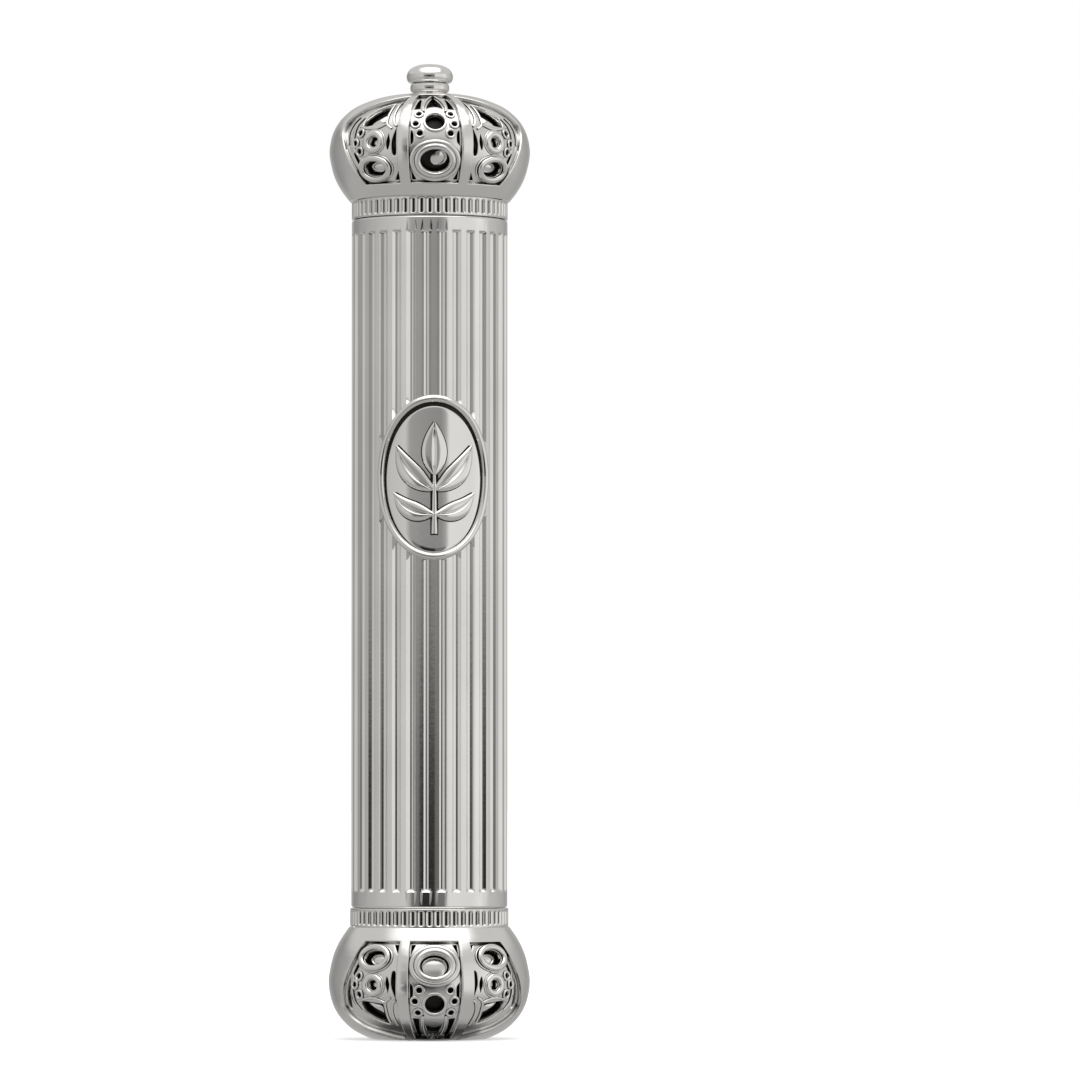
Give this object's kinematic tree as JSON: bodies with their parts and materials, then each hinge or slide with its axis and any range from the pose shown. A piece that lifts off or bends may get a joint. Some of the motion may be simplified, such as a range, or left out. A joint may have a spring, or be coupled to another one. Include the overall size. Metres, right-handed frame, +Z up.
{
  "type": "mezuzah case",
  "caption": "Half-round fluted metal case with openwork crowns that holds a rolled parchment and slides onto a back plate on a doorpost.",
  "frame": {"origin": "centre of the back plate's rear face, at half the height of the case", "axes": "+Z up along the case, +Y out of the back into the doorpost, +X to the right seen from the front"},
  "size_m": [0.0308, 0.0194, 0.15],
  "materials": {
    "silver_plate": "polished",
    "plate_steel": "zinc plated",
    "parchment": "matte",
    "clear_sleeve": "clear plastic"
  },
  "bodies": {
    "wall_plate": {"back_plate": "plate_steel"},
    "case": {"body_shell": "silver_plate", "medallion_plate": "silver_plate", "medallion_rim": "silver_plate", "leaf_emblem": "silver_plate", "bottom_collar": "silver_plate", "bottom_crown": "silver_plate", "bottom_liner": "silver_plate", "bottom_plug": "silver_plate", "foot_cap": "silver_plate"},
    "crown": {"top_collar": "silver_plate", "top_crown": "silver_plate", "top_liner": "silver_plate", "top_plug": "silver_plate"},
    "knob_washer": {"knob_ring": "silver_plate"},
    "knob_screw": {"knob": "silver_plate"},
    "roll": {"scroll": "parchment", "scroll_sleeve": "clear_sleeve"}
  },
  "joints": [
    {"name": "case_slide", "type": "slide", "parent": "wall_plate", "child": "case", "axis": [0, 0, 1], "range_m": [0, 0.11]},
    {"name": "crown_pull", "type": "slide", "parent": "case", "child": "crown", "axis": [0, 0, 1], "range_m": [0, 0.02]},
    {"name": "knob_rise", "type": "slide", "parent": "crown", "child": "knob_washer", "axis": [0, 0, 1], "range_m": [0, 0.003]},
    {"name": "knob_turn", "type": "hinge", "parent": "knob_washer", "child": "knob_screw", "pos_m": [0, -0.004, 0.074], "axis": [0, 0, 1], "range_deg": [0, 2160]},
    {"name": "scroll_slide", "type": "slide", "parent": "case", "child": "roll", "axis": [0, 0, 1], "range_m": [0, 0.0016]}
  ],
  "couplings": [
    {"joint": "knob_turn", "follows": "knob_rise", "rad_per_m": 12566}
  ]
}
